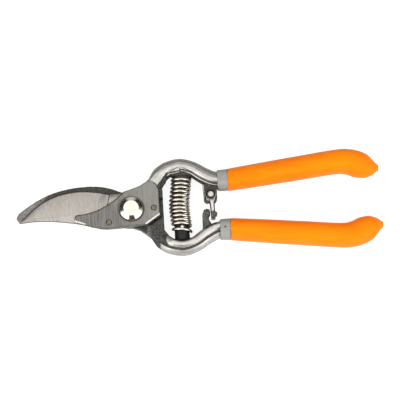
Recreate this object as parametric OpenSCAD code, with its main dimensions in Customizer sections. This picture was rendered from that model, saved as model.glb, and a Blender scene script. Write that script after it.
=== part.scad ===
// Bypass hand shears: two drop-forged handles on one pivot bolt, a riveted cutting blade, a coil
// return spring between the handles, a swinging catch and dipped grips.
// The tool lies flat. The pivot axis is Z, the handles run towards +X and the jaws towards -X.
// The pivot nut's outer face and the undersides of both grips lie on the plane Z = 0.

/* [Pivot stack] */
// Diameter of the pivot bolt's shank
pivot_d = 8; // [6:0.5:9]
// Diameter of the pivot bolt's head
head_d = 13.2; // [12:0.2:15]
// Height of the pivot bolt's head
head_h = 3; // [2:0.2:4]
// Thickness of the pivot nut
nut_t = 3.2; // [3:0.1:3.6]
// Width across the flats of the pivot nut
nut_flats = 13; // [12:0.5:14]
// Thickness of the lock washer under the pivot nut
washer_t = 0.6; // [0.4:0.1:0.8]
// Thickness of the hook jaw and its pivot head
hook_t = 5; // [4:0.5:5]
// Thickness of the cutting blade
blade_t = 2.8; // [2:0.2:3]
// Thickness of the blade handle's pivot head
plate_t = 4.2; // [3.6:0.2:4.4]

/* [Handles] */
// Height of the handles' middle plane above the surface the tool lies on
handle_z = 9; // [9:0.5:10]
// Thickness of a grip at its thickest, which rests on the surface
grip_t = 18; // [16:0.5:18]
// Half thickness of the forged bar in the spring loop
bar_half_t = 6.2; // [5.5:0.1:6.4]

/* [Return spring] */
// Wire diameter
wire_d = 1.4; // [1:0.1:1.5]
// Outer diameter of the coils
coil_d = 12; // [11.8:0.2:13]
// Number of turns
coil_turns = 14; // [8:1:15]

/* [Catch] */
// Thickness of the catch plate
latch_t = 1.6; // [1.2:0.1:2]
// Width of the catch plate's stem
stem_w = 2.4; // [2:0.1:2.6]
// Diameter of the catch rivet's shank
latch_rivet_d = 3; // [2.5:0.1:3.4]

/* [Hidden] */

round_fn = 64;                 // facets of turned parts; they stay true cylinders in the exported solids
slide_gap = 0.05;              // running clearance between faces and round fits that move
fit_gap = 0.02;                // clearance of a part that is fastened in its seat

hook_z = nut_t + washer_t;     // underside of the hook jaw
hook_top = hook_z + hook_t - slide_gap;
blade_z = hook_z + hook_t;     // flat side of the cutting blade
plate_z = blade_z + blade_t;   // underside of the blade handle's pivot head
plate_top = plate_z + plate_t;
pivot_r = pivot_d / 2;
centre_y = 0.9;                // the handles are mirror images about a line this far beside the pivot

// Centre line of the forged bar round the spring, upper half: x, y, half width, half thickness. The half
// thickness of its first stations is given apart, because one rib starts flush with its head and the other
// starts low, on its neck.
function loop_line(start) = [[12, 14.2, 2.8, start[0]], [16, 18.5, 4.4, start[1]], [19, 20.9, 4.55, start[2]],
    [22, 22.55, 4.45, bar_half_t], [28.5, 23.85, 4.45, bar_half_t], [35.5, 21.9, 4.35, bar_half_t],
    [42, 17.7, 4.6, bar_half_t], [47.5, 15, 4.7, bar_half_t], [52, 14.3, 4.8, bar_half_t]];
flush_start = [6.4, 6.4, 6.3];
low_start = [3.4, 3.9, 5.2];
// Upper half of the bar's section, from its inner face to its outer face, in shares of the half width and
// half thickness: a rounded rib between two ledges, with drafted sides. Its rib stands at crest. The lower
// half of the section is the same.
function rib(crest) = [[1, 0.12], [0.95, 0.42], [0.84, 0.64], [0.81, 0.69], [crest + 0.43, 0.76],
    [crest + 0.36, 0.87], [crest + 0.22, 0.97], [crest, 1], [crest - 0.22, 0.97], [crest - 0.36, 0.87],
    [crest - 0.43, 0.76], [-0.5, 0.71], [-0.7, 0.62], [-0.95, 0.36], [-1, 0.12]];
upper_crest = 0.13;
lower_crest = 0.33;
tang_line = [[50.5, 14.4, 4.25, 6], [58, 14.6, 4.65, 6.6], [90, 18.3, 4.5, 6.4], [120, 21.4, 4.3, 6],
    [126, 20.6, 3.8, 5.2]];
collar_line = [[49.6, 14.45, 5.5, 7.4], [52.5, 14.35, 5.7, 7.7], [55.3, 14.45, 5.8, 7.9]];
collar_bore = [[49.6, 14.55, 4.85, 6.4], [52.5, 14.35, 4.95, 6.5], [55.3, 14.45, 4.85, 6.6]];
grip_half_t = grip_t / 2;
grip_line = [[55.4, 14.45, 6, 8], [56, 14.47, 6.1, 8.1], [60, 14.9, 6.25, 8.4], [75, 16.6, 6.5, 8.7],
    [97.5, 19.2, 6.7, grip_half_t], [118, 21.5, 6.85, grip_half_t], [125.5, 21.1, 7.2, grip_half_t],
    [131, 19.2, 7.4, 8.7], [135.3, 17.6, 6.5, 7.6], [138.6, 16.9, 4.6, 5.6], [140.8, 16.7, 2.8, 3.4],
    [142.4, 16.6, 1.7, 2.1]];

// Outlines, in the plane of the tool, measured from the handles' line of symmetry.
hook_back = [[-66, -1.1], [-63.6, 2.2], [-54.2, 8.3], [-42.5, 13.1], [-28, 15.2], [-15, 14.3], [-4.5, 10.4]];
hook_edge = [[-9.5, 2], [-16, 6.8], [-28, 9.6], [-40, 8.2], [-51, 4.2], [-59, -0.6], [-63.4, -3.7]];
blade_edge = [[-64, -4.5], [-58.1, 1.4], [-50, 7.2], [-40.4, 11], [-28.8, 12.4], [-17.5, 11.1], [-11.8, 9.6]];
blade_spine = [[-64, -4.7], [-58, -4.1], [-50, -4.1], [-41, -5], [-31, -6.7], [-22, -9], [-14, -10.8]];
jaw_edge = [[-30.8, -2.7], [-23.5, -1.7], [-16.5, 0.8], [-9.5, 4.9], [-4.2, 9.4]];
jaw_back = [[-30.6, -7.2], [-24.4, -9.2], [-16, -11.3], [-9.5, -10.9], [-1, -10.6], [8.2, -10.2]];
jaw_tip = [[-31.2, -7.4], [-32.2, -6.4], [-32.6, -4.9], [-32.2, -3.6], [-31.5, -2.9]];
shoulder = [[-4.2, 9.4], [4.4, 12], [8.4, 14.2], [11.4, 14.6], [14.4, 12.8], [16, 9.2]];
crown = [[10.2, 14.2], [16.4, 9.5], [17.4, 12.6], [18.5, 15.8], [20.7, 18.8], [18.3, 21.7], [14.5, 19.5],
    [10.4, 15.5]];
window_x = 18;                 // left edge of the spring window, the end of the hook half's head
stop_top = [16, -5.2];         // the blade handle's slanted stop edge: its two ends
stop_end = [8.2, -10.2];
neck_top = 13.15;              // the blade handle's neck, and the crown where its rib meets the plate
crown_top = 15.1;
bevel_y = 4.4;                 // where a head's slanted stop edge meets the window
stop_gap = 0.5;                // gap between one handle's stop edge and the other's neck

stop_bevel_w = 1.3;            // widths of the bright bevels along the plate's stop edge and jaw tip
tip_bevel_w = 0.9;
edge_bevel_w = 0.8;            // width of the bevel along the cutting edge
face_fall = 1;                 // how far the blade's face falls towards that bevel
ground_share = 0.7;            // share of the blade's width over which its face falls

front_rivet_at = [-12.9, -7.9];
rear_rivet_at = [12.8, -0.7];
rivet_r = 1.4;
rivet_proud = 0.1;             // the blade rivets stand this far above the plate
head_flat = 0.64;              // share of the bolt's head that its flat top takes
head_rim = 1.3;                // height of the head's straight rim, under its conical flank
spring_x = 29;                 // spring's upper end, and the places of its two ends along Y
pin_x = 28;                    // spring's lower end
spring_top = 17.4;
spring_foot = -15.6;
spring_bow = 1.3;              // the compressed spring bows this far towards the pivot
seat_y = 19.7;                 // distance from the line of symmetry to the bars' inner faces at the spring
boss_r = 5.7;                  // forged shoulder that the spring's upper end rests on
boss_end = 17.6;
nose_r = 4.3;                  // the boss's nose and the lower pin, which the end turns slip over
nose_end = 12.4;
pin_end = 10.2;
pin_stem_r = 3;

latch_at = [45.4, 5.4];        // catch rivet
lug_z = handle_z - 3;          // underside of both lugs
lug_t = 6;
latch_z = lug_z + lug_t + slide_gap;
foot_y = -8.2;                 // lower end of the catch
claw_x = 44.95;                // left side of the catch's claw at rest

// ---- helpers -----------------------------------------------------------------------------

// A point at t (0 to 1) on the Catmull-Rom span between b and c.
function spline_at(a, b, c, d, t) =
    0.5 * (2 * b + (c - a) * t + (2 * a - 5 * b + 4 * c - d) * t * t + (3 * b - a - 3 * c + d) * t * t * t);

// The smooth curve through points, with n steps in each span.
function spline(points, n) = let (last = len(points) - 1) [
    for (i = [0 : last - 1], k = [0 : n - 1])
        spline_at(points[max(i - 1, 0)], points[i], points[i + 1], points[min(i + 2, last)], k / n),
    points[last]
];

function signed_power(v, p) = sign(v) * pow(abs(v), p);

// One rounded section of a bar, square to its centre line. A station is [x, y, half width, half thickness],
// and the section's flat sides stand exactly that far from its middle.
function ring(station, along, sides, squareness, grow) = let (
    n = along / norm(along),
    flat = signed_power(cos(180 / sides), 2 / squareness)
) [
    for (k = [0 : sides - 1]) let (
        angle = 360 * (k + 0.5) / sides,
        across = (station[2] + grow) * signed_power(cos(angle), 2 / squareness) / flat,
        up = (station[3] + grow) * signed_power(sin(angle), 2 / squareness) / flat
    ) [station[0] + n[1] * across, station[1] - n[0] * across, handle_z + up]
];

function rings(line, sides = 16, squareness = 2.4, grow = 0) = [
    for (i = [0 : len(line) - 1]) let (
        before = line[max(i - 1, 0)],
        after = line[min(i + 1, len(line) - 1)]
    ) ring(line[i], shortened(after - before), sides, squareness, grow)
];

function shortened(v) = [v[0], v[1]];

function reversed(list) = [for (i = [len(list) - 1 : -1 : 0]) list[i]];

// A solid skin over a row of rings. A looped row joins its last ring to its first and has no caps.
module skin(row, looped = false) {
    sides = len(row[0]);
    count = len(row);
    spans = looped ? count : count - 1;
    points = [for (r = row, p = r) p];
    walls = [for (i = [0 : spans - 1], k = [0 : sides - 1]) let (
        here = i * sides,
        there = ((i + 1) % count) * sides,
        next = (k + 1) % sides
    ) [here + k, here + next, there + next, there + k]];
    caps = looped ? [] : [
        [for (k = [sides - 1 : -1 : 0]) k],
        [for (k = [0 : sides - 1]) (count - 1) * sides + k]
    ];
    polyhedron(points, concat(walls, caps), convexity = 6);
}

module slab(outline, z0, z1) {
    translate([0, 0, z0])
        linear_extrude(z1 - z0)
            polygon(outline);
}

module rod(r, z0, z1) {
    translate([0, 0, z0])
        cylinder(r = r, h = z1 - z0, $fn = round_fn);
}

module tube(r_out, r_in, z0, z1) {
    difference() {
        rod(r_out, z0, z1);
        rod(r_in, z0 - 1, z1 + 1);
    }
}

// Moves what is drawn from the line of symmetry into the tool's own frame, whose origin is the pivot.
module upper_side() {
    translate([0, centre_y, 0])
        children();
}

// The mirror image of the same, for the lower handle.
module lower_side() {
    translate([0, centre_y, 0])
        mirror([0, 1, 0])
            children();
}

// ---- forged handles ----------------------------------------------------------------------

// One section of the forged bar, square to its centre line.
function rib_ring(station, along, crest) = let (
    n = along / norm(along),
    top = rib(crest),
    section = concat(top, [for (p = reversed(top)) [p[0], -p[1]]])
) [
    for (p = section) [station[0] + n[1] * p[0] * station[2], station[1] - n[0] * p[0] * station[2],
        handle_z + p[1] * station[3]]
];

// The bar round the spring window and the tang inside the grip, for the upper half.
module forged_bar(start, crest) {
    bar = spline(loop_line(start), 4);
    last = len(bar) - 1;
    skin([for (i = [0 : last])
        rib_ring(bar[i], shortened(bar[min(i + 1, last)] - bar[max(i - 1, 0)]), crest)]);
    skin(rings(tang_line));
}

// The thick neck that ties a pivot head to its bar, for the upper half.
module neck(z0, z1) {
    slab([[8.8, 10.6 + stop_gap], [window_x, bevel_y + stop_gap], [window_x, 13], [20.5, 16.5],
        [14.5, 20.3], [9.1, 15.4]], z0, z1);
}

// The spring's upper seat, forged in one piece with the bar.
module spring_boss() {
    translate([spring_x, 0, handle_z])
        rotate([-90, 0, 0]) {
            rod(boss_r, boss_end, seat_y + 2);
            rod(nose_r, nose_end, boss_end + 1);
        }
}

module lug(outline) {
    slab(outline, lug_z, lug_z + lug_t);
}

// Polished bevel along the plate's upper edge, between two corners of its outline.
module edge_bevel(low, high, width) {
    run = high - low;
    translate([(low[0] + high[0]) / 2, (low[1] + high[1]) / 2, plate_top])
        rotate([0, 0, atan2(run[1], run[0])])
            rotate([45, 0, 0])
                cube([norm(run) + 4, width, width], center = true);
}

module blade_handle() {
    color("silver") difference() {
        upper_side() union() {
            slab(concat(spline(jaw_edge, 5), spline(shoulder, 4), [stop_top, stop_end],
                reversed(spline(jaw_back, 4)), jaw_tip), plate_z, plate_top);
            neck(nut_t, neck_top);
            slab(crown, neck_top - 1, crown_top);
            forged_bar(flush_start, upper_crest);
            spring_boss();
            lug([[41, 12], [41.4, 3], [42.6, 1.7], [48, 1.7], [49, 3.4], [49.2, 12]]);
        }
        rod(pivot_r + fit_gap, -1, 30);
        upper_side() {
            translate(front_rivet_at) rod(rivet_r + fit_gap, -1, 30);
            translate(rear_rivet_at) rod(rivet_r + fit_gap, -1, 30);
            translate(latch_at) rod(latch_rivet_d / 2 + fit_gap, -1, 30);
            edge_bevel(stop_end, stop_top, stop_bevel_w);
            edge_bevel(jaw_tip[1], jaw_back[1], tip_bevel_w);
        }
    }
}

module hook_handle() {
    color("silver") difference() {
        union() {
            upper_side() slab(concat(spline(hook_back, 5), [[0, 10.4], [8.6, 10.6], [window_x, bevel_y],
                [window_x, -13], [20.5, -16.5], [14.5, -20.3], [9.1, -15.4], [4.5, -11.8], [0, -10.1],
                [-5, -9.6], [-9.5, -6.5], [-10.5, -2]], spline(hook_edge, 5), [[-64.8, -3.1], [-65.8, -2]]),
                hook_z, hook_top);
            lower_side() {
                neck(hook_z, 12.4);
                forged_bar(low_start, lower_crest);
            }
            // The catch tooth: the claw drops into the notch under its nose.
            upper_side() lug([[39.8, -16], [40.1, -4.8], [41, -2.9], [42.6, -2.2], [44.1, -2.6], [44.6, -4],
                [44.6, -5.5], [43.7, -6.2], [43.7, -9.4], [44.6, -10], [44.7, -15]]);
        }
        rod(pivot_r + slide_gap, -1, 30);
        lower_side() translate([pin_x, 0, handle_z]) rotate([-90, 0, 0]) {
            rod(nose_r + fit_gap, pin_end, seat_y - 0.3);
            rod(pin_stem_r + fit_gap, seat_y - 2, seat_y + 4);
        }
    }
}

// ---- blade and its rivets ----------------------------------------------------------------

// One section of the ground blade between its cutting edge and its spine: a broad, slightly falling face
// and a narrow bevel down to the edge.
function blade_section(edge, spine) = let (
    ground = edge + ground_share * (spine - edge),
    bevel = edge + min(edge_bevel_w / norm(spine - edge), 0.3) * (spine - edge)
) [
    [spine[0], spine[1], blade_z],
    [spine[0], spine[1], plate_z],
    [ground[0], ground[1], plate_z],
    [bevel[0], bevel[1], plate_z - face_fall],
    [edge[0], edge[1], blade_z + 0.3],
    [edge[0], edge[1], blade_z]
];

module cutting_blade() {
    edge = spline(blade_edge, 4);
    spine = spline(blade_spine, 4);
    color("gainsboro") difference() {
        upper_side() union() {
            skin([for (i = [0 : len(edge) - 1]) blade_section(edge[i], spine[i])]);
            // The root keeps its full thickness, so the ground face ends at a low heel step.
            slab([[-12.2, 9.2], [-4.6, 9.3], [0, 10], [8, 9.6], [13, 6.5], [15, 2.5], [15, -3], [8, -9],
                [0, -10.1], [-8, -10.6], [-14.2, -10.7], [-13.55, 3.9]], blade_z, plate_z);
        }
        rod(pivot_r + fit_gap, -1, 30);
        upper_side() {
            translate(front_rivet_at) rod(rivet_r + fit_gap, -1, 30);
            translate(rear_rivet_at) rod(rivet_r + fit_gap, -1, 30);
        }
    }
}

// A flush rivet through the plate and the blade, hammered up a little proud of the plate.
module blade_rivet(place) {
    color("rosybrown") upper_side() translate(place)
        rod(rivet_r, blade_z + rivet_proud, plate_top + rivet_proud);
}

module front_rivet() { blade_rivet(front_rivet_at); }
module rear_rivet() { blade_rivet(rear_rivet_at); }

// ---- pivot -------------------------------------------------------------------------------

// Headed bolt with a conical flank and a flat top; its end is peened flush with the nut.
module pivot_bolt() {
    head_top = plate_top + head_h;
    head_r = head_d / 2;
    flat_r = head_r * head_flat;
    color("whitesmoke") rotate_extrude($fn = round_fn)
        polygon([[0, 0], [pivot_r - 0.4, 0], [pivot_r - 0.4, 0.4], [pivot_r, 0.8], [pivot_r, plate_top],
            [head_r, plate_top], [head_r, plate_top + head_rim - 0.2], [head_r - 0.15, plate_top + head_rim],
            [flat_r + 0.1, head_top - 0.1], [flat_r - 0.1, head_top], [0, head_top]]);
}

module lock_washer() {
    color("dimgray") difference() {
        tube(nut_flats / 2, pivot_r + fit_gap, nut_t, hook_z - slide_gap);
        translate([0, pivot_r, hook_z]) rotate([0, 0, 20]) cube([1, 8, 4], center = true);
    }
}

module pivot_nut() {
    corner_r = nut_flats / sqrt(3);
    color("gray") difference() {
        intersection() {
            cylinder(r = corner_r, h = nut_t, $fn = 6);
            rotate_extrude($fn = round_fn)
                polygon([[0, 0], [nut_flats / 2, 0], [corner_r + 0.1, 0.7], [corner_r + 0.1, nut_t],
                    [0, nut_t]]);
        }
        rod(pivot_r, -1, nut_t + 1);
    }
}

// ---- return spring -----------------------------------------------------------------------

module return_spring() {
    steps = 14;                // rings in each turn
    sides = 6;
    mean_r = (coil_d - wire_d) / 2;
    wire_r = wire_d / 2;
    rise = (spring_top - spring_foot - wire_d) / coil_turns;
    count = coil_turns * steps;
    color("tan") upper_side() skin([for (i = [0 : count]) let (
        turn = 360 * i / steps,
        height = spring_foot + wire_r + rise * i / steps,
        middle_x = pin_x + (spring_x - pin_x) * i / count - spring_bow * pow(sin(180 * i / count), 2)
    ) [for (k = [0 : sides - 1]) let (
        reach = mean_r + wire_r * cos(360 * k / sides),
        y = height + wire_r * sin(360 * k / sides)
    ) [middle_x + reach * cos(turn), y, handle_z + reach * sin(turn)]]]);
}

// The spring's lower seat: a turned pin whose stem is pressed into the bar.
module spring_pin() {
    color("black") lower_side() translate([pin_x, 0, handle_z]) rotate([-90, 0, 0])
        rotate_extrude($fn = round_fn)
            polygon([[0, pin_end], [nose_r - 0.8, pin_end], [nose_r, pin_end + 0.8], [nose_r, seat_y - 0.3],
                [pin_stem_r, seat_y - 0.3], [pin_stem_r, seat_y + 3.5], [0, seat_y + 3.5]]);
}

// ---- catch -------------------------------------------------------------------------------

module catch_lever() {
    top = latch_z + latch_t;
    claw_z = lug_z + 1.5;
    color("lightgray") upper_side() difference() {
        union() {
            translate(latch_at) rod(3.5, latch_z, top);
            slab([[42, 5], [42.2, 2.2], [43, 1.5], [44.4, 1.3], [claw_x, foot_y + 1], [claw_x, foot_y],
                [claw_x + stem_w, foot_y], [claw_x + stem_w, 1.3], [48.2, 1.8], [48.8, 5]], latch_z, top);
            // The claw is bent down beside the tooth, and the thumb roll stands beside it.
            translate([claw_x, foot_y, claw_z]) cube([stem_w, 1.6, top - claw_z]);
            translate([claw_x + stem_w - 0.2, foot_y + 2.2, 0]) rod(1.4, latch_z - 1.4, top + 0.8);
        }
        translate(latch_at) rod(latch_rivet_d / 2 + slide_gap, -1, 30);
    }
}

module catch_rivet() {
    seat = latch_z + latch_t + 0.4;
    shank = latch_rivet_d / 2;
    color("whitesmoke") upper_side() translate(latch_at) rotate_extrude($fn = round_fn)
        polygon([[0, lug_z - 1.2], [1.8, lug_z - 1.2], [2.4, lug_z - 0.6], [2.4, lug_z], [shank, lug_z],
            [shank, seat], [2.8, seat], [2.8, seat + 0.3], [2.3, seat + 1.1], [1.4, seat + 1.6],
            [0, seat + 1.8]]);
}

module catch_washer() {
    top = latch_z + latch_t;
    color("gray") upper_side() translate(latch_at)
        tube(2.9, latch_rivet_d / 2 + fit_gap, top + slide_gap, top + 0.4);
}

// ---- collars and grips -------------------------------------------------------------------

// Inner skin of a sleeve: the bar's own section with a small gap, from x0 to x1.
function bore_rings(line, squareness = 2.4) = rings(line, squareness = squareness, grow = fit_gap);

module collar() {
    skin(concat(rings(collar_line, squareness = 2.8), reversed(bore_rings(collar_bore, 5))), looped = true);
}

module grip() {
    hollow = [[55.4, 14.45, 4.85, 6.7], [58, 14.6, 4.8, 6.7], [90, 18.3, 4.6, 6.5], [120, 21.4, 4.4, 6.1],
        [126.5, 20.5, 3.9, 5.3]];
    skin(concat(reversed(rings(spline(grip_line, 4), squareness = 2.2)), bore_rings(hollow)));
}

module upper_collar() { color("darkgray") upper_side() collar(); }
module lower_collar() { color("darkgray") lower_side() collar(); }
module upper_grip() { color("darkorange") upper_side() grip(); }
module lower_grip() { color("darkorange") lower_side() grip(); }

// ---- the tool ----------------------------------------------------------------------------

blade_handle();
hook_handle();
cutting_blade();
front_rivet();
rear_rivet();
pivot_bolt();
lock_washer();
pivot_nut();
return_spring();
spring_pin();
catch_lever();
catch_rivet();
catch_washer();
upper_collar();
lower_collar();
upper_grip();
lower_grip();
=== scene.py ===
"""Looks for a forged bypass pruner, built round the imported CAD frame. Metres, +Z up."""

import math

import bmesh
import bpy
import numpy as np
from mathutils import Matrix, Vector, kdtree, noise


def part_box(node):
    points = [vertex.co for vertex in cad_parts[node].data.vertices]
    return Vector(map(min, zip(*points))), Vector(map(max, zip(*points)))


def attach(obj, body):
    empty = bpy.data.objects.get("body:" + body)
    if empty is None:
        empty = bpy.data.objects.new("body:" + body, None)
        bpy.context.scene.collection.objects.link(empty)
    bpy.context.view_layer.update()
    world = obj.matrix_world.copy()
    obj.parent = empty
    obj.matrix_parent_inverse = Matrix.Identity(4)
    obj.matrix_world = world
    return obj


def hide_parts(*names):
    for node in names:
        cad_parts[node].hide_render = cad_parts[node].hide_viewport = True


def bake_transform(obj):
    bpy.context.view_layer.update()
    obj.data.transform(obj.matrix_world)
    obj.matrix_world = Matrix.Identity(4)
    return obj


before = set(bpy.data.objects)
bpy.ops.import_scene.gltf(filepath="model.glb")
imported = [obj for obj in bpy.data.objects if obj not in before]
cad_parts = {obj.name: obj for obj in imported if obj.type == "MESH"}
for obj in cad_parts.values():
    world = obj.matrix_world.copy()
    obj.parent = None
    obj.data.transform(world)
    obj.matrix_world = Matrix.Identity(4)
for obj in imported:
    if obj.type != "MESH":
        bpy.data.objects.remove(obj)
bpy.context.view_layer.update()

MM = 0.001
BLADE_HALF, HOOK_HALF, CATCH = "blade_half", "hook_half", "catch"


def box_mm(node):
    """Lowest and highest corner of a CAD node, in millimetres."""
    low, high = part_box(node)
    return Vector(low) / MM, Vector(high) / MM


# Small steps between the CAD pieces, in millimetres.
RIVET_PROUD = 0.1
LAYER_GAP = 0.05
SEAT_OFFSET = 1  # the spring's upper seat lies this far past its pin
MOUTH_LENGTH = 1

# Heights and places that the frame gives, in millimetres.
PLATE_TOP = box_mm("front_rivet")[1].z - RIVET_PROUD
BOLT_TOP = box_mm("pivot_bolt")[1].z
BLADE_TOP = box_mm("cutting_blade")[1].z
HOOK_TOP = box_mm("cutting_blade")[0].z - LAYER_GAP
HOOK_UNDER = box_mm("lock_washer")[1].z + LAYER_GAP
MIDDLE_Z = (box_mm("upper_grip")[0].z + box_mm("upper_grip")[1].z) / 2
CENTRE_Y = (box_mm("upper_grip")[1].y + box_mm("lower_grip")[0].y) / 2
SPRING_LOW, SPRING_HIGH = box_mm("return_spring")
PIN_X = (box_mm("spring_pin")[0].x + box_mm("spring_pin")[1].x) / 2
SPRING_X = PIN_X + SEAT_OFFSET
CATCH_AT = (box_mm("catch_rivet")[0] + box_mm("catch_rivet")[1]) / 2
COLLAR_MOUTH_X = box_mm("upper_collar")[0].x
MOUTH_END_X = box_mm("upper_grip")[0].x + MOUTH_LENGTH


# ---- meshes -------------------------------------------------------------------------------

RELAX_ROUNDS = 3
RELAX_PULL = 0.5
MERGE_DISTANCE = 1e-6  # metres
EDGE_REACH = 0.07      # how near an edge the extra point of a long straight run lies
LONG_RUN = 5           # in reaches
ON_AXIS = 1e-6
RING_SIDES = 64


def mesh_from(name, points, faces):
    """A mesh from points in millimetres."""
    mesh = bpy.data.meshes.new(name)
    mesh.from_pydata([tuple(c * MM for c in p) for p in points], [], faces)
    mesh.validate()
    shell = bmesh.new()
    shell.from_mesh(mesh)
    bmesh.ops.recalc_face_normals(shell, faces=shell.faces)
    shell.to_mesh(mesh)
    shell.free()
    return mesh


def coordinates(mesh):
    co = np.empty(len(mesh.vertices) * 3, np.float64)
    mesh.vertices.foreach_get("co", co)
    return co.reshape(-1, 3)


def normals(mesh):
    values = np.empty(len(mesh.vertices) * 3, np.float32)
    mesh.vertex_normals.foreach_get("vector", values)
    return values.reshape(-1, 3).astype(float)


def set_coordinates(mesh, co):
    mesh.vertices.foreach_set("co", co.reshape(-1))
    mesh.update()


def paint(mesh, name, values):
    """Stores one number a vertex, for a material to read."""
    layer = mesh.attributes.new(name, "FLOAT", "POINT")
    layer.data.foreach_set("value", np.clip(values, 0, 1).astype(np.float32))


def relax(mesh):
    """Moves every vertex towards the mean of its neighbours."""
    edges = np.empty(len(mesh.edges) * 2, np.int64)
    mesh.edges.foreach_get("vertices", edges)
    a, b = edges.reshape(-1, 2).T
    co = coordinates(mesh)
    degree = np.bincount(np.r_[a, b], minlength=len(co)).reshape(-1, 1)
    for _ in range(RELAX_ROUNDS):
        total = np.zeros_like(co)
        np.add.at(total, a, co[b])
        np.add.at(total, b, co[a])
        co += RELAX_PULL * (total / degree - co)
    set_coordinates(mesh, co)


def cad_shell(node, cut_x=None):
    """A CAD node's mesh as one closed shell, and, if cut_x is given, only the part before that X."""
    shell = bmesh.new()
    shell.from_mesh(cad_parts[node].data)
    bmesh.ops.remove_doubles(shell, verts=shell.verts, dist=MERGE_DISTANCE)
    if cut_x is not None:
        parts = shell.verts[:] + shell.edges[:] + shell.faces[:]
        cut = bmesh.ops.bisect_plane(
            shell, geom=parts, plane_co=(cut_x * MM, 0, 0), plane_no=(1, 0, 0), clear_outer=True
        )
        rim = [e for e in cut["geom_cut"] if isinstance(e, bmesh.types.BMEdge)]
        bmesh.ops.holes_fill(shell, edges=rim, sides=0)
    mesh = bpy.data.meshes.new(node + "_shell")
    shell.to_mesh(mesh)
    shell.free()
    return mesh


def with_modifier(mesh, kind, **settings):
    """The mesh after one modifier, applied."""
    obj = bpy.data.objects.new("work", mesh)
    bpy.context.scene.collection.objects.link(obj)
    modifier = obj.modifiers.new("work", kind)
    for key, value in settings.items():
        setattr(modifier, key, value)
    graph = bpy.context.evaluated_depsgraph_get()
    result = bpy.data.meshes.new_from_object(obj.evaluated_get(graph))
    bpy.data.objects.remove(obj)
    return result


def remeshed(mesh, voxel):
    """The same form with an even skin of small faces and softened edges."""
    result = with_modifier(mesh, "REMESH", mode="VOXEL", voxel_size=voxel * MM)
    relax(result)
    return result


def spline(points, steps):
    """The smooth Catmull-Rom curve through points, with that many steps in each span."""
    p = np.array(points, float)
    last = len(p) - 1
    curve = []
    for i in range(last):
        a, b, c, d = p[max(i - 1, 0)], p[i], p[i + 1], p[min(i + 2, last)]
        for k in range(steps):
            t = k / steps
            curve.append(
                0.5 * (2 * b + (c - a) * t + (2 * a - 5 * b + 4 * c - d) * t**2
                       + (3 * b - a - 3 * c + d) * t**3)
            )
    return np.array(curve + [p[last]])


def rounded_rings(line, squareness):
    """Rounded sections square to a line of stations x, y, half width, half thickness."""
    angle = 2 * np.pi * (np.arange(RING_SIDES) + 0.5) / RING_SIDES
    across = np.sign(np.cos(angle)) * np.abs(np.cos(angle)) ** (2 / squareness)
    up = np.sign(np.sin(angle)) * np.abs(np.sin(angle)) ** (2 / squareness)
    rings = []
    for i, (x, y, half_width, half_thickness) in enumerate(line):
        run = line[min(i + 1, len(line) - 1)][:2] - line[max(i - 1, 0)][:2]
        run = np.array([1.0, 0.0]) if x < MOUTH_END_X else run / np.linalg.norm(run)
        rings.append(
            np.c_[x + run[1] * half_width * across, y - run[0] * half_width * across,
                  MIDDLE_Z + half_thickness * up]
        )
    return rings


def skin(rings, looped=False):
    """Points and faces of a solid skin over a row of rings."""
    sides = len(rings[0])
    count = len(rings)
    faces = []
    for i in range(count if looped else count - 1):
        j = (i + 1) % count
        for k in range(sides):
            n = (k + 1) % sides
            faces.append((i * sides + k, i * sides + n, j * sides + n, j * sides + k))
    if not looped:
        faces.append(tuple(range(sides)))
        faces.append(tuple((count - 1) * sides + k for k in range(sides)))
    return np.concatenate(rings), faces


def sided(points, side):
    """Moves points from the handles' line of symmetry to the upper (1) or lower (-1) handle."""
    moved = np.array(points, float)
    moved[:, 1] = CENTRE_Y + side * moved[:, 1]
    return moved


def supported(profile):
    """Adds a point near both ends of each long straight run, so that smooth shading keeps it straight."""
    result = [profile[0]]
    for a, b in zip(profile, profile[1:]):
        length = math.hypot(b[0] - a[0], b[1] - a[1])
        if length > LONG_RUN * EDGE_REACH:
            for share in (EDGE_REACH / length, 1 - EDGE_REACH / length):
                result.append((a[0] + share * (b[0] - a[0]), a[1] + share * (b[1] - a[1])))
        result.append(b)
    return result


def lathe(name, profile, axis_at, axis="Z", segments=96):
    """A turned piece: profile is radius and height along the axis, in millimetres."""
    points, faces = [], []
    rows = []
    for radius, height in supported(profile):
        if radius < ON_AXIS:
            rows.append([len(points)])
            points.append((0, 0, height))
            continue
        rows.append(list(range(len(points), len(points) + segments)))
        for k in range(segments):
            turn = 2 * math.pi * k / segments
            points.append((radius * math.cos(turn), radius * math.sin(turn), height))
    for low, high in zip(rows, rows[1:]):
        for k in range(segments):
            n = (k + 1) % segments
            ring = [low[k % len(low)], low[n % len(low)], high[n % len(high)], high[k % len(high)]]
            faces.append(tuple(dict.fromkeys(ring)))
    turn = Matrix.Rotation(math.radians(-90), 3, "X") if axis == "Y" else Matrix.Identity(3)
    points = [turn @ Vector(p) + Vector(axis_at) for p in points]
    return mesh_from(name, points, faces)


def arc(centre, radius, start, end, steps):
    """Points on an arc in a profile, angles in degrees from the outward direction."""
    return [
        (centre[0] + radius * math.cos(math.radians(a)), centre[1] + radius * math.sin(math.radians(a)))
        for a in np.linspace(start, end, steps + 1)
    ]


def smoothstep(low, high, value):
    """Eases from 0 to 1 between two limits; the first may be the larger."""
    t = np.clip((value - low) / (high - low), 0, 1)
    return t * t * (3 - 2 * t)


def band(value, low, high, soft=0.05):
    """1 between two limits, 0 outside them."""
    return smoothstep(low - soft, low + soft, value) * smoothstep(high + soft, high - soft, value)


# ---- materials ----------------------------------------------------------------------------

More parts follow.
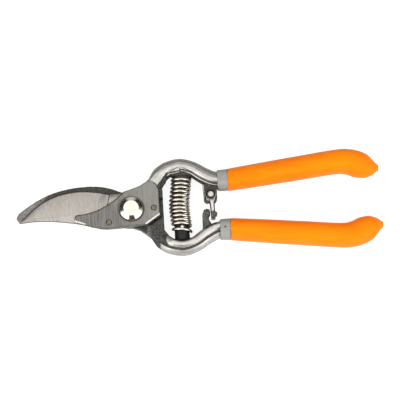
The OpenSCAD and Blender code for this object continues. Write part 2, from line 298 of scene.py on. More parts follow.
SPOT_CORE = 0.7        # share of a spot's radius that is at full strength
SOFT = (0.3, 0.7)      # limits that spread most of a noise's range
PINHOLE_AT = (52.45, -13.4, 16.5)
PINHOLE_RADIUS = 0.6
BOLT_FACE_RADIUS = 4.3
HEEL_AT = (-12.1, 10.4, 0)
HEEL_ACROSS = (0.97, -0.25, 0)
GRIND_CENTRE = (-0.022, -0.075)  # metres; the blade's grinding marks fan out from here


class Nodes:
    """A node tree with a few short ways to add nodes."""

    def __init__(self, tree):
        self.tree = tree

    def node(self, kind, **settings):
        node = self.tree.nodes.new(kind)
        for key, value in settings.items():
            setattr(node, key, value)
        return node

    def put(self, source, socket):
        """Links an output to a socket, or sets the socket to a plain value."""
        if hasattr(source, "is_output"):
            self.tree.links.new(source, socket)
        else:
            socket.default_value = source

    def math(self, operation, a, b=0.0):
        node = self.node("ShaderNodeMath", operation=operation)
        self.put(a, node.inputs[0])
        self.put(b, node.inputs[1])
        return node.outputs[0]

    def spread(self, value, low, high, to_low=0.0, to_high=1.0):
        """Eases from one result to another as a value passes from low to high."""
        node = self.node("ShaderNodeMapRange", interpolation_type="SMOOTHSTEP")
        self.put(value, node.inputs["Value"])
        for key, number in zip(("From Min", "From Max", "To Min", "To Max"), (low, high, to_low, to_high)):
            self.put(number, node.inputs[key])
        return node.outputs[0]

    def blend_value(self, factor, a, b):
        node = self.node("ShaderNodeMix", data_type="FLOAT")
        self.put(factor, node.inputs["Factor"])
        self.put(a, node.inputs[2])
        self.put(b, node.inputs[3])
        return node.outputs[0]

    def along(self, place, direction):
        """How far a vector reaches along a direction."""
        node = self.node("ShaderNodeVectorMath", operation="DOT_PRODUCT")
        self.put(place, node.inputs[0])
        node.inputs[1].default_value = Vector(direction).normalized()
        return node.outputs["Value"]


class Shader(Nodes):
    """A new material. Texture scales and bump heights are for lengths in metres."""

    def __init__(self, name, roughness, metallic=0.0, **settings):
        self.material = bpy.data.materials.new(name)
        self.material.use_nodes = True
        super().__init__(self.material.node_tree)
        self.surface = self.tree.nodes["Principled BSDF"]
        self.surface.inputs["Roughness"].default_value = roughness
        self.surface.inputs["Metallic"].default_value = metallic
        for key, value in settings.items():
            self.surface.inputs[key.replace("_", " ")].default_value = value
        self.place = self.node("ShaderNodeTexCoord").outputs["Object"]

    def attribute(self, name):
        return self.node("ShaderNodeAttribute", attribute_name=name).outputs["Fac"]

    def noise(self, scale, detail, place=None, rough=0.5):
        node = self.node("ShaderNodeTexNoise")
        node.inputs["Scale"].default_value = scale
        node.inputs["Detail"].default_value = detail
        node.inputs["Roughness"].default_value = rough
        self.put(place or self.place, node.inputs["Vector"])
        return node.outputs["Fac"]

    def streaks(self, scales, detail, turn=0.0, rough=0.5):
        """Noise with its own scale along each axis, turned about Z by some degrees."""
        node = self.node("ShaderNodeMapping")
        node.inputs["Scale"].default_value = scales
        node.inputs["Rotation"].default_value = (0, 0, math.radians(turn))
        self.put(self.place, node.inputs["Vector"])
        return self.noise(1.0, detail, node.outputs[0], rough)

    def mix(self, factor, a, b):
        """Mixes two colours."""
        node = self.node("ShaderNodeMix", data_type="RGBA")
        self.put(factor, node.inputs["Factor"])
        for socket, value in ((node.inputs[6], a), (node.inputs[7], b)):
            self.put(value if hasattr(value, "is_output") else (*value, 1.0), socket)
        return node.outputs[2]

    def bump(self, height, distance, strength, below=None):
        node = self.node("ShaderNodeBump")
        node.inputs["Distance"].default_value = distance
        self.put(strength, node.inputs["Strength"])
        self.put(height, node.inputs["Height"])
        if below:
            self.put(below, node.inputs["Normal"])
        return node.outputs["Normal"]

    def from_point(self, operation, at):
        """Each place set against a point, given in millimetres."""
        node = self.node("ShaderNodeVectorMath", operation=operation)
        self.put(self.place, node.inputs[0])
        node.inputs[1].default_value = [c * MM for c in at]
        return node

    def offset(self, at, direction):
        """How far each place lies past a point, given in millimetres, along a direction."""
        return self.along(self.from_point("SUBTRACT", at).outputs["Vector"], direction)

    def spot(self, at, radius):
        """1 within a radius of a point, all in millimetres."""
        gap = self.from_point("DISTANCE", at).outputs["Value"]
        return self.spread(gap, SPOT_CORE * radius * MM, radius * MM, 1, 0)

    def finish(self, colour, roughness=None, normal=None, metallic=None):
        for name, value in (("Base Color", colour), ("Roughness", roughness), ("Normal", normal),
                            ("Metallic", metallic)):
            if value is not None:
                self.put(value, self.surface.inputs[name])
        return self.material


def forged_steel():
    """Drop forging: one painted number gives the tumbled polish and also painted light, highlights and
    shade; 'plate' gives the belt-ground flats; the rest is dark.
    """
    dark_skin, pale_skin = (0.038, 0.036, 0.032), (0.105, 0.100, 0.092)
    grey_polish, white_polish, pit = (0.47, 0.455, 0.435), (0.60, 0.585, 0.56), (0.25, 0.24, 0.23)
    dark_grain, pale_grain = (0.118, 0.112, 0.104), (0.258, 0.250, 0.236)
    dull_ground, lit_ground = (0.15, 0.143, 0.132), (0.33, 0.32, 0.30)
    brown_stain_and_shade = (0.060, 0.038, 0.022)
    s = Shader("forged_steel", roughness=0.4)
    polish_and_light, plate, stain_and_shade = s.attribute("polish_and_light"), s.attribute("plate"), s.attribute("stain_and_shade")
    scale = s.noise(900, 5, rough=0.65)
    pits = s.noise(2600, 3)
    grain = s.streaks((2600, 90, 900), 5, turn=5, rough=0.75)
    cloud = s.noise(160, 3)
    dark = s.mix(s.spread(scale, 0.35, 0.7), dark_skin, pale_skin)
    bright = s.mix(s.spread(cloud, *SOFT), grey_polish, white_polish)
    bright = s.mix(s.spread(pits, 0.6, 0.75, 0, 0.4), bright, pit)
    ground = s.mix(s.spread(grain, 0.38, 0.62), dark_grain, pale_grain)
    ground = s.mix(s.spread(cloud, 0.35, 0.65, 0, 0.25), ground, dull_ground)
    # Painted reflection: the ground flats grow lighter towards the rear.
    rearward = s.offset((0, 0, 0), (1, 0.4, 0))
    ground = s.mix(s.spread(rearward, -0.01, 0.012, 0, 0.4), ground, lit_ground)
    mottled = s.math("ADD", polish_and_light, s.spread(scale, 0.2, 0.8, -0.11, 0.11))
    colour = s.mix(s.spread(mottled, 0.12, 0.9), dark, bright)
    colour = s.mix(plate, colour, ground)
    # Brown: a stain round the bolt, and the painted shadow of the cutting edge on the hook.
    stain_and_shade_amount = s.math("MULTIPLY", stain_and_shade, s.spread(cloud, 0.25, 0.6, 0.55, 0.95))
    colour = s.mix(stain_and_shade_amount, colour, brown_stain_and_shade)
    skin_roughness = s.spread(scale, *SOFT, 0.55, 0.72)
    roughness = s.blend_value(polish_and_light, skin_roughness, s.spread(pits, *SOFT, 0.30, 0.40))
    roughness = s.blend_value(plate, roughness, s.spread(grain, *SOFT, 0.34, 0.48))
    relief = s.bump(scale, 0.00011, s.blend_value(polish_and_light, 0.8, 0.12))
    relief = s.bump(s.math("MULTIPLY", grain, plate), 0.00004, 0.6, below=relief)
    metallic = s.blend_value(s.math("MAXIMUM", polish_and_light, plate), 0.7, 1.0)
    return s.finish(colour, roughness, relief, metallic)


def blade_steel():
    """Ground blade: fine grinding marks that fan out from a point below the blade, and a dark heel line."""
    dark_mark, pale_mark = (0.345, 0.318, 0.290), (0.530, 0.500, 0.467)
    warm, dull, side_grey, heel_brown = (
        (0.505, 0.463, 0.418), (0.40, 0.375, 0.35), (0.20, 0.19, 0.175), (0.05, 0.032, 0.02)
    )
    s = Shader("blade_steel", roughness=0.4, metallic=1.0)
    split = s.node("ShaderNodeSeparateXYZ")
    s.put(s.place, split.inputs[0])
    dx = s.math("SUBTRACT", split.outputs[0], GRIND_CENTRE[0])
    dy = s.math("SUBTRACT", split.outputs[1], GRIND_CENTRE[1])
    swing = s.math("ARCTAN2", dx, dy)
    fan = s.node("ShaderNodeCombineXYZ")
    s.put(s.math("MULTIPLY", swing, 0.09), fan.inputs[0])
    s.put(s.math("MULTIPLY", dy, 0.04), fan.inputs[1])
    s.put(split.outputs[2], fan.inputs[2])
    marks = s.noise(2300, 5, fan.outputs[0], rough=0.7)
    broad = s.noise(520, 3, fan.outputs[0])
    cloud = s.noise(90, 2)
    colour = s.mix(s.spread(marks, 0.36, 0.64), dark_mark, pale_mark)
    colour = s.mix(s.spread(broad, 0.35, 0.7, 0, 0.5), colour, warm)
    colour = s.mix(s.spread(cloud, 0.4, 0.7, 0, 0.3), colour, dull)
    colour = s.mix(s.attribute("side"), colour, side_grey)
    wander = s.math("MULTIPLY", s.math("SUBTRACT", s.noise(500, 2), 0.5), 0.0004)
    from_heel = s.math("ABSOLUTE", s.math("ADD", s.offset(HEEL_AT, HEEL_ACROSS), wander))
    colour = s.mix(s.spread(from_heel, 0.00018, 0.0004, 0.9, 0), colour, heel_brown)
    return s.finish(colour, s.spread(marks, *SOFT, 0.36, 0.5), s.bump(marks, 0.00005, 0.6))


def bright_nickel():
    """Plated and polished, a little duller on the bolt's flat face."""
    bright, hazy, bolt_face = (0.80, 0.765, 0.69), (0.74, 0.705, 0.635), (0.66, 0.645, 0.565)
    s = Shader("bright_nickel", roughness=0.12, metallic=1.0)
    haze = s.noise(700, 3)
    scuffs = s.streaks((600, 4200, 900), 4, turn=30, rough=0.7)
    colour = s.mix(s.spread(haze, *SOFT), bright, hazy)
    colour = s.mix(s.spot((0, 0, BOLT_TOP), BOLT_FACE_RADIUS), colour, bolt_face)
    return s.finish(colour, s.spread(haze, *SOFT, 0.08, 0.17), s.bump(scuffs, 0.00002, 0.4))


def catch_plate():
    """Plated pressing: hazy bright flats, with painted shade at the edges and in a ring round the dome, and
    a brown thumb roll.
    """
    dull, bright, dark, brown_and_ring_shade = (
        (0.50, 0.48, 0.45), (0.66, 0.64, 0.60), (0.03, 0.028, 0.025), (0.09, 0.06, 0.042)
    )
    s = Shader("catch_plate", roughness=0.25, metallic=1.0)
    haze = s.noise(900, 4)
    flats = s.mix(s.spread(haze, *SOFT), dull, bright)
    colour = s.mix(s.attribute("edge"), flats, dark)
    colour = s.mix(s.attribute("stain_and_shade"), colour, brown_and_ring_shade)
    return s.finish(colour, s.spread(haze, *SOFT, 0.2, 0.34), s.bump(haze, 0.00004, 0.4))


def dull_rivet():
    pale, tarnished = (0.27, 0.22, 0.183), (0.10, 0.072, 0.054)
    s = Shader("dull_rivet", roughness=0.45, metallic=1.0)
    tarnish = s.noise(1500, 4, rough=0.7)
    colour = s.mix(s.spread(tarnish, 0.35, 0.65), pale, tarnished)
    return s.finish(colour, s.spread(tarnish, *SOFT, 0.3, 0.55), s.bump(tarnish, 0.00012, 0.7))


def spring_wire():
    """Warm bright wire, painted dark as shade on the side that faces the middle of the coil and on the far
    half of the turns.
    """
    bright, dull, painted_shade = (0.80, 0.75, 0.66), (0.56, 0.515, 0.45), (0.05, 0.04, 0.032)
    s = Shader("spring_wire", roughness=0.25, metallic=1.0)
    patches = s.noise(800, 4)
    colour = s.mix(s.spread(patches, *SOFT), bright, dull)
    colour = s.mix(s.spread(s.attribute("inside"), 0.24, 0.52), colour, painted_shade)
    return s.finish(colour, s.spread(patches, *SOFT, 0.2, 0.36), s.bump(patches, 0.00003, 0.4))


def black_oxide():
    """Blacked steel; a painted highlight makes one spot bright metal."""
    black, worn, highlight_white = (0.012, 0.012, 0.011), (0.06, 0.058, 0.055), (0.85, 0.83, 0.78)
    s = Shader("black_oxide", roughness=0.35, Specular_IOR_Level=0.25)
    wear = s.noise(1200, 4, rough=0.7)
    painted_highlight = s.attribute("painted_highlight")
    colour = s.mix(s.spread(wear, 0.6, 0.8), black, worn)
    colour = s.mix(painted_highlight, colour, highlight_white)
    return s.finish(colour, s.spread(wear, *SOFT, 0.28, 0.45), s.bump(wear, 0.00004, 0.4), painted_highlight)


def dipped(name, base, shade, pale, roughness, sheen):
    """Soft vinyl dip: a faint orange-peel skin with slow changes of tone."""
    s = Shader(name, roughness=roughness, Specular_IOR_Level=0.12, Specular_Tint=sheen)
    slow = s.noise(38, 2)
    peel = s.noise(1500, 2)
    runs = s.streaks((60, 420, 420), 2)
    colour = s.mix(s.spread(slow, *SOFT), base, shade)
    colour = s.mix(s.spread(runs, 0.45, 0.7, 0, 0.6), colour, pale)
    relief = s.bump(peel, 0.00003, 0.35)
    relief = s.bump(runs, 0.0002, 0.25, below=relief)
    return s, colour, s.spread(peel, *SOFT, roughness - 0.04, roughness + 0.05), relief


def orange_dip():
    s, colour, roughness, relief = dipped(
        "orange_dip", base=(0.92, 0.210, 0.004), shade=(0.88, 0.185, 0.004), pale=(0.96, 0.235, 0.006),
        roughness=0.42, sheen=(1.0, 0.45, 0.12, 1.0)
    )
    return s.finish(colour, roughness, relief)


def grey_dip():
    """The collars' dip, with one dark pinhole in the lower collar."""
    s, colour, roughness, relief = dipped(
        "grey_dip", base=(0.285, 0.289, 0.272), shade=(0.255, 0.26, 0.246), pale=(0.315, 0.315, 0.297),
        roughness=0.5, sheen=(1.0, 1.0, 1.0, 1.0)
    )
    pinhole = (0.01, 0.01, 0.01)
    colour = s.mix(s.spot(PINHOLE_AT, PINHOLE_RADIUS), colour, pinhole)
    return s.finish(colour, roughness, relief)


MATERIALS = {
    "forged_steel": forged_steel(),
    "blade_steel": blade_steel(),
    "rivet_steel": dull_rivet(),
    "bright_nickel": bright_nickel(),
    "spring_wire": spring_wire(),
    "black_oxide": black_oxide(),
    "grey_dip": grey_dip(),
    "orange_dip": orange_dip(),
}


def add_piece(name, mesh, body, slot, replaced, material=None):
    """Puts a mesh into the scene as a piece that rides on a body and stands for CAD nodes."""
    obj = bpy.data.objects.new(name, mesh)
    bpy.context.scene.collection.objects.link(obj)
    mesh.materials.clear()
    mesh.materials.append(material or MATERIALS[slot])
    for polygon in mesh.polygons:
        polygon.use_smooth = True
    if body:
        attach(obj, body)
    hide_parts(*replaced)
    return obj


# ---- forgings -----------------------------------------------------------------------------

FORGED_VOXEL = 0.34
TANG_SHOWN = 4.0      # the forging ends this far inside the collar
FLAT_REACH = 0.22     # vertices this near a ground plane are put back on it
FLAT_FACING = 0.94
SKIN_DEPTH = 0.16     # roughness of the forged skin
SKIN_FADE = 1.3       # how soon polish clears the forged skin
COARSE, FINE = 420, 1100  # its two scales, a metre
SEARCH_PARTS = 40
LUG_HALF = 3.4

# Centre line of the forged bar round the spring: x, y from the line of symmetry, half width.
BAR_LINE = [[12, 14.2, 2.8], [16, 18.5, 4.4], [19, 20.9, 4.55], [22, 22.55, 4.45], [28.5, 23.85, 4.45],
            [35.5, 21.9, 4.35], [42, 17.7, 4.6], [47.5, 15, 4.7], [52, 14.3, 4.8]]

# Looks of the blade half's forging. Most pairs are where a look starts and where it is full: across the bar
# in its half widths (positive towards the spring), or in X from the pivot or Y from the line of symmetry.
# CROWN_AT, HEAD_SHOULDER and CATCH_LUG are corners in X and Y.
RIB_OUTER, RIB_INNER = (-0.38, -0.28), (0.62, 0.52)
GROOVE, BEAD = (0.59, 0.71, 0.04), (0.74, 0.84, 0.035)
FLASH_STEP, FLASH_STEP_IN_X, FLASH_STEP_OUT_X = 0.17, (20, 28.2), (28.8, 28.4)
NECK_X, NECK_SHADE_END_X = (20.3, 21.6), (22, 20.6)
CROWN_AT, CROWN_RUN, CROWN_SOFT = (16.1, 13.3), (0.79, -0.614), 0.3
CROWN_OUTER, CROWN_END_X = (-0.38, -0.3), 21
HEAD_END_X, HEAD_SHOULDER, HEAD_TOP_Y, HEAD_EDGE, FRONT_FACING = 17.6, (9, 9.4), 11, 0.4, (-0.1, -0.5)
BEVEL_SLANT, BEVEL_Y, STOP_BEVEL_X, TIP_BEVEL_X = (0.5, 0.93), (-3.6, -4.2), (7.2, 7.9), (-26, -26.8)
CATCH_LUG, CATCH_LUG_LIT_X, CATCH_LUG_LIT_Y = (39.5, 12), (42.0, 41.4), (2.5, 4)
PLATE_Z, PLATE_FACING = (PLATE_TOP - 0.2, PLATE_TOP - 0.05), (0.9, 0.985)
BORDER_WIDTH, BORDER_X, BORDER_Y, BORDER_SHARE = 0.7, (-2, -5), (-6.4, -5.4), 0.3
CREASE_X, CREASE_HALF, CREASE_ACROSS = 28.6, (0.6, 0.15), (0.5, 1.2)
BEAD_HEIGHT, GROOVE_DEPTH, CREASE_DEPTH = 0.12, 0.22, 0.3
HALO = (1.5, 0.3)     # stain round the bolt

# Looks of the hook half's forging, in the same terms, with Y mirrored. TOOTH_LUG is a corner.
HOOK_RIB, HOOK_BEAD, HOOK_FLANK = (-0.12, 0.84), (-0.63, -0.47), (-0.61, -0.69)
RIB_END_X, RIB_END_SOFT, RIB_END_SWEEP, SWEEP_LIMIT = 18.3, 1.2, 1.1, 1.5
RIB_END_MIDDLE, RIB_END_HALF = 0.35, 0.45
WALL_X, PIVOT_FACE_X, PIVOT_FACE_DEPTH = (14.4, 16.4), (11.5, 8.5), 0.5
JAW_END_X, JAW_TIP_X, JAW_SIDE_FACING = 8, (-42, -56), (0.6, 0.3)
TOOTH_LUG, TOOTH_FACING = (39, 15.5), (0.9, 0.98)
BACK_Z, BACK_FACING = (HOOK_UNDER + 0.25, HOOK_UNDER + 0.05), (-0.75, -0.95)
EDGE_SHADE_DEPTH = 0.4
EDGE_ABOVE, EDGE_BELOW, EDGE_TIP_X = (1.0, 0.45), (-0.9, -0.2), (-18, -44)
CUTTING_EDGE_X, CUTTING_EDGE_DEPTHS = -12, (1.5, 0.2)


def flatten(mesh, levels):
    """Puts the vertices of the ground faces exactly back on their planes."""
    co, up = coordinates(mesh), normals(mesh)[:, 2]
    for level in levels:
        near = (np.abs(co[:, 2] / MM - level) < FLAT_REACH) & (np.abs(up) > FLAT_FACING)
        co[near, 2] = level * MM
    set_coordinates(mesh, co)


def forged_texture(mesh, polish_and_light, plate):
    """Raises and sinks the rough forged skin a little, where the surface is neither polished nor ground."""
    amount = np.clip(1 - SKIN_FADE * polish_and_light - plate, 0, 1)
    co, out = coordinates(mesh), normals(mesh)
    bumps = np.array([noise.noise(Vector(p) * COARSE) + 0.5 * noise.noise(Vector(p) * FINE) for p in co])
    set_coordinates(mesh, co + out * (bumps * amount * SKIN_DEPTH * MM)[:, None])


def across_bar(x, y):
    """How far each place lies from a bar's middle, in its half widths, positive towards the spring."""
    line = spline(BAR_LINE, 10)
    run = np.gradient(line[:, :2], axis=0)
    run /= np.linalg.norm(run, axis=1)[:, None]
    across = []
    for px, py in zip(np.array_split(x, SEARCH_PARTS), np.array_split(y, SEARCH_PARTS)):
        near = np.argmin((px[:, None] - line[:, 0]) ** 2 + (py[:, None] - line[:, 1]) ** 2, axis=1)
        gap_x, gap_y = px - line[near, 0], py - line[near, 1]
        across.append((gap_x * run[near, 1] - gap_y * run[near, 0]) / line[near, 2])
    return np.concatenate(across)


def rim_of(co, flat, width):
    """1 at the very border of a flat face, 0 from that width inwards and off the face."""
    outside = co[~flat]
    tree = kdtree.KDTree(len(outside))
    for index, place in enumerate(outside):
        tree.insert(place, index)
    tree.balance()
    rim = np.zeros(len(co))
    rim[flat] = [tree.find(place)[2] for place in co[flat]]
    return np.where(flat, smoothstep(width, 0.5 * width, rim), 0)


def forging(node, planes):
    """A forging's softened mesh, with its places in millimetres and its normals."""
    mesh = remeshed(cad_shell(node, COLLAR_MOUTH_X + TANG_SHOWN), FORGED_VOXEL)
    flatten(mesh, planes)
    return mesh, coordinates(mesh) / MM, normals(mesh)


def blade_handle_piece():
    # Levels of polish, and of painted light and shade.
    dark, wall, flank, lit_wall, lit_lug, crease_shade = 0.12, 0.1, 0.38, 0.25, 0.7, 0.8
    mesh, co, out = forging("blade_handle", [PLATE_TOP, BLADE_TOP])
    x, y, z = co[:, 0], co[:, 1] - CENTRE_Y, co[:, 2]
    across = across_bar(x, y)
    upper = z > MIDDLE_Z
    # The trimmed flash line steps inwards on one side of the boss.
    step = FLASH_STEP * smoothstep(*FLASH_STEP_IN_X, x) * smoothstep(*FLASH_STEP_OUT_X, x)
    shifted = across - step
    rib = smoothstep(*RIB_OUTER, across) * smoothstep(*RIB_INNER, shifted)
    polish_and_light = dark + (1 - dark) * rib + flank * smoothstep(*RIB_OUTER[::-1], across)
    past_neck = smoothstep(*NECK_X, x) * upper
    # The groove beside the trimmed flash line is sunk a little and painted dark as shade.
    groove = band(shifted, *GROOVE) * past_neck
    bead = band(shifted, *BEAD) * past_neck
    polish_and_light += (1 - dark) * bead - dark * groove
    # The crown, where the bar's polished top meets the head.
    past_crown = (x - CROWN_AT[0]) * CROWN_RUN[0] + (y - CROWN_AT[1]) * CROWN_RUN[1]
    shaded = smoothstep(-CROWN_SOFT, CROWN_SOFT, past_crown) * smoothstep(*NECK_SHADE_END_X, x)
    polish_and_light = polish_and_light * (1 - shaded) + dark * shaded
    crown = smoothstep(CROWN_SOFT, -CROWN_SOFT, past_crown) * smoothstep(*CROWN_OUTER, across)
    polish_and_light = np.maximum(polish_and_light, crown * (x < CROWN_END_X) * (y > HEAD_SHOULDER[1]))
    # The head's dark walls, painted lighter as painted light where they face the front, with a painted
    # highlight on the bevel at the stop and at the tip.
    slant = band(out[:, 2], *BEVEL_SLANT) * smoothstep(*BEVEL_Y, y)
    bevel_highlight = slant * np.maximum(smoothstep(*STOP_BEVEL_X, x), smoothstep(*TIP_BEVEL_X, x))
    sides = (x < HEAD_END_X) & ((y < HEAD_SHOULDER[1]) | (x < HEAD_SHOULDER[0]))
    head = sides | ((z > PLATE_TOP - HEAD_EDGE) & (y < HEAD_TOP_Y))
    walls = wall + lit_wall * smoothstep(*FRONT_FACING, out[:, 1])
    polish_and_light = np.where(head, walls + (1 - walls) * bevel_highlight, polish_and_light)
    # The catch lug is dark, with a painted highlight on its polished left edge.
    lug = (x > CATCH_LUG[0]) & (y < CATCH_LUG[1]) & (np.abs(z - MIDDLE_Z) < LUG_HALF)
    lit = smoothstep(*CATCH_LUG_LIT_X, x) * smoothstep(*CATCH_LUG_LIT_Y, y)
    polish_and_light = np.where(lug, dark + lit_lug * lit, polish_and_light)
    # The belt-ground plate, less its dark border beside the blade: dark forged skin on the rounded-over
    # edge, and painted shade where plate and blade meet.
    plate = smoothstep(*PLATE_Z, z) * smoothstep(*PLATE_FACING, out[:, 2])
    border = rim_of(co, plate > 0.5, BORDER_WIDTH) * smoothstep(*BORDER_X, x) * smoothstep(*BORDER_Y, y)
    plate = plate * (1 - border)
    polish_and_light = np.where(border > BORDER_SHARE, wall, polish_and_light)
    forged_texture(mesh, polish_and_light, plate)
    crease = smoothstep(*CREASE_HALF, np.abs(x - CREASE_X)) * band(across, *CREASE_ACROSS) * upper
    raised = BEAD_HEIGHT * bead - GROOVE_DEPTH * groove - CREASE_DEPTH * crease
    set_coordinates(mesh, coordinates(mesh) + normals(mesh) * (raised * MM)[:, None])
    from_bolt = np.hypot(x, y + CENTRE_Y) - box_mm("pivot_bolt")[1].x
    paint(mesh, "polish_and_light", polish_and_light * (1 - crease_shade * crease))
    paint(mesh, "plate", plate)
    paint(mesh, "stain_and_shade", smoothstep(*HALO, from_bolt) * plate)
    add_piece("blade_handle_forging", mesh, BLADE_HALF, "forged_steel", ["blade_handle"])


def near_cutting_edge(x, y):
    """1 right beside the cutting edge, near the tip, where the blade's edge is painted as a shadow on the
    hook; y is mirrored.
    """
    blade = coordinates(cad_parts["cutting_blade"].data) / MM
    low_enough = blade[:, 2] < BLADE_TOP - CUTTING_EDGE_DEPTHS[0]
    high_enough = blade[:, 2] > HOOK_TOP + CUTTING_EDGE_DEPTHS[1]
    edge = blade[low_enough & high_enough & (blade[:, 0] < CUTTING_EDGE_X)]
    edge = edge[np.argsort(edge[:, 0])]
    above = (CENTRE_Y - y) - np.interp(x, edge[:, 0], edge[:, 1])
    return smoothstep(*EDGE_ABOVE, above) * smoothstep(*EDGE_BELOW, above) * smoothstep(*EDGE_TIP_X, x)


def hook_handle_piece():
    # Levels of polish, and of painted light and shade.
    dark, flash, flank, lit_face = 0.1, 0.85, 0.6, 0.32
    jaw, lit_tip, jaw_wall, tooth, tooth_top, painted_shade = 0.14, 0.28, 0.35, 0.08, 0.17, 0.9
    mesh, co, out = forging("hook_handle", [HOOK_TOP, HOOK_UNDER])
    x, y, z = co[:, 0], CENTRE_Y - co[:, 1], co[:, 2]
    across = across_bar(x, y)
    from_middle = ((across - RIB_END_MIDDLE) / RIB_END_HALF) ** 2
    rib_end = RIB_END_SWEEP * np.minimum(from_middle, SWEEP_LIMIT)
    rib_start = smoothstep(0, RIB_END_SOFT, x - RIB_END_X - rib_end)
    wall_start = smoothstep(*WALL_X, x)
    polish_and_light = dark + (1 - dark) * band(across, *HOOK_RIB) * rib_start
    polish_and_light += flash * band(across, *HOOK_BEAD) * wall_start
    polish_and_light += flank * smoothstep(*HOOK_FLANK, across) * wall_start
    pivot_face = (x < PIVOT_FACE_X[0]) & (z > HOOK_TOP - PIVOT_FACE_DEPTH)
    polish_and_light = np.where(pivot_face, dark + lit_face * smoothstep(*PIVOT_FACE_X, x), polish_and_light)
    jaw_face = jaw + lit_tip * smoothstep(*JAW_TIP_X, x)
    jaw_side = jaw_wall * smoothstep(*JAW_SIDE_FACING, np.abs(out[:, 2]))
    polish_and_light = np.where(x < JAW_END_X, np.maximum(jaw_face, jaw_side), polish_and_light)
    lug = (x > TOOTH_LUG[0]) & (y < TOOTH_LUG[1]) & (np.abs(z - MIDDLE_Z) < LUG_HALF)
    polish_and_light = np.where(lug, tooth + tooth_top * smoothstep(*TOOTH_FACING, out[:, 2]), polish_and_light)
    plate = smoothstep(*BACK_Z, z) * smoothstep(*BACK_FACING, out[:, 2])
    forged_texture(mesh, polish_and_light, plate)
    paint(mesh, "polish_and_light", polish_and_light)
    paint(mesh, "plate", plate)
    # Painted shadow of the blade's cutting edge on the hook's top, near the tip.
    paint(mesh, "stain_and_shade", painted_shade * near_cutting_edge(x, y) * (z > HOOK_TOP - EDGE_SHADE_DEPTH))
    add_piece("hook_handle_forging", mesh, HOOK_HALF, "forged_steel", ["hook_handle"])


# ---- blade, rivets and pivot --------------------------------------------------------------

ROUNDED_ANGLE = 30    # degrees; sharper edges than this are rounded
MERGE_ANGLE = 1.5     # degrees; flatter edges than this are merged away
BLADE_MERGE_ANGLE = 0.2
SIDE_FACING = 0.6
BOLT_SEGMENTS = 128
RIVET_SEGMENTS = 48


def bevelled(node, width, merge=MERGE_ANGLE):
    """A CAD node's own form with small rounded edges, for ground and machined pieces."""
    shell = bmesh.new()
    shell.from_mesh(cad_shell(node))
    bmesh.ops.dissolve_limit(shell, angle_limit=math.radians(merge), verts=shell.verts, edges=shell.edges)
    mesh = bpy.data.meshes.new(node + "_edged")
    shell.to_mesh(mesh)
    shell.free()
    return with_modifier(
        mesh, "BEVEL", width=width * MM, segments=2, limit_method="ANGLE",
        angle_limit=math.radians(ROUNDED_ANGLE), harden_normals=True
    )


def cutting_blade_piece():
    mesh = bevelled("cutting_blade", 0.1, BLADE_MERGE_ANGLE)
    layer = mesh.attributes.new("side", "FLOAT", "FACE")
    layer.data.foreach_set("value", [float(abs(p.normal.z) < SIDE_FACING) for p in mesh.polygons])
    add_piece("ground_blade", mesh, BLADE_HALF, "blade_steel", ["cutting_blade"])


def rivet_piece(name, node):
    """A flush rivet with a rounded rim and a slightly sunk face."""
    low, high = box_mm(node)
    radius = (high.x - low.x) / 2
    at = ((low.x + high.x) / 2, (low.y + high.y) / 2, 0)
    foot, rim = 0.1, 0.25
    top = high.z
    profile = [(0, low.z), (radius - foot, low.z), (radius, low.z + foot), (radius, top - rim)]
    profile += arc((radius - rim, top - rim), rim, 0, 90, 4)
    profile += [(radius * 0.55, top + 0.02), (radius * 0.4, top - 0.06), (0, top - 0.1)]
    mesh = lathe(name, profile, at, segments=RIVET_SEGMENTS)
    add_piece(name, mesh, BLADE_HALF, "rivet_steel", [node])


def pivot_bolt_piece():
    """A bolt head with a low rim, a straight conical flank and a flat top."""
    low, high = box_mm("pivot_bolt")
    head_r = (high.x - low.x) / 2
    shank_r = head_r - 2.6
    flat_r = head_r * 0.65
    rim, rim_height, chamfer, top_round = 0.15, 1.3, 0.4, 0.3
    profile = [(0, low.z), (shank_r - chamfer, low.z), (shank_r, low.z + chamfer), (shank_r, PLATE_TOP)]
    profile += [(head_r - 0.1, PLATE_TOP)] + arc((head_r - rim, PLATE_TOP + rim_height), rim, 0, 45, 3)
    profile += [(flat_r + 0.06, high.z - 0.11)]
    profile += arc((flat_r - 0.12, high.z - top_round), top_round, 55, 90, 4)
    profile += [(flat_r * 0.5, high.z), (0, high.z)]
    mesh = lathe("bolt", profile, (0, 0, 0), segments=BOLT_SEGMENTS)
    add_piece("bolt", mesh, BLADE_HALF, "bright_nickel", ["pivot_bolt"])


def pivot_nut_pieces():
    add_piece("hexagon_nut", bevelled("pivot_nut", 0.18), BLADE_HALF, "bright_nickel", ["pivot_nut"])
    add_piece("split_washer", bevelled("lock_washer", 0.08), BLADE_HALF, "bright_nickel", ["lock_washer"])


# ---- spring -------------------------------------------------------------------------------

# Rise of each turn of the spring, from the lower end up, as shares of their mean.
TURN_RISES = [1.70, 0.85, 0.98, 1.04, 0.86, 0.92, 0.94, 1.04, 1.06, 1.0, 0.84, 1.1, 0.67]
WIRE_RADIUS, COIL_RADIUS, COIL_BOW = 0.78, 5.25, 1.3
TURN_STEPS, WIRE_SIDES = 48, 12
STEM_RADIUS, STEM_LENGTH, PIN_ROUND, PIN_RINGS = 3.0, 3.8, 1.0, (0.5, 0.2)
PIN_SEGMENTS = 72
HIGHLIGHT_AT, HIGHLIGHT_REACH = (0.2, -2.2), (1.0, 0.7)  # from the middle of the pin's top end


